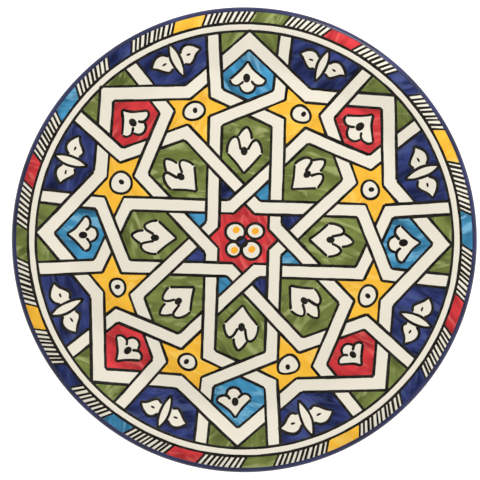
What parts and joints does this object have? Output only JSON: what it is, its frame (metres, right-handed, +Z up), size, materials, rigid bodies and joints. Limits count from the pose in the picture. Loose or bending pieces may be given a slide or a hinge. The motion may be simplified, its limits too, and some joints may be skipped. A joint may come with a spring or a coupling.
{
  "type": "decorated dinner plate",
  "caption": "Round ceramic plate with a flat well, a raised wall and a rolled rim, hand painted with interlaced geometric strapwork inside a border of colour blocks.",
  "frame": {"origin": "centre of the foot ring's bearing edge, on the surface that the plate stands on", "axes": "+Z up along the plate's axis, out of the painted face"},
  "size_m": [0.27, 0.27, 0.0203],
  "materials": {
    "bare_clay": "bare fired buff clay on the foot's bearing edge, and the clay inside the glaze",
    "cream_glaze": "smooth glossy warm cream glaze with a few tiny specks",
    "black_line": "glossy black brush line",
    "cobalt": "glossy dark cobalt line on the lip",
    "red": "glossy brushed red",
    "green": "glossy brushed olive green",
    "navy": "glossy brushed cobalt navy",
    "sky": "glossy brushed sky blue",
    "yellow": "glossy brushed warm yellow",
    "orange": "glossy orange dots"
  },
  "bodies": {
    "root": {"clay_body": "bare_clay", "foot_ring": "bare_clay", "front_glaze": "cream_glaze", "back_glaze": "cream_glaze", "foot_well_glaze": "cream_glaze", "rim_line": "cobalt", "ring_lines": "black_line", "strap_outlines": "black_line", "border_hatching": "black_line", "bud_outlines": "black_line", "bud_hearts": "black_line", "butterfly_outlines": "black_line", "star_eye_outlines": "black_line", "centre_flower_outlines": "black_line", "border_blocks_green": "green", "border_blocks_red": "red", "border_blocks_navy": "navy", "border_blocks_yellow": "yellow", "border_blocks_sky": "sky", "centre_star_red": "red", "centre_flower_dots": "orange", "centre_flower_heart": "navy", "inner_chips_navy": "navy", "inner_chips_sky": "sky", "petal_fields_green": "green", "star_fields_yellow": "yellow", "kite_fields_sky": "sky", "kite_fields_red": "red", "rim_fields_navy": "navy", "rim_triangles_green": "green"}
  },
  "joints": []
}
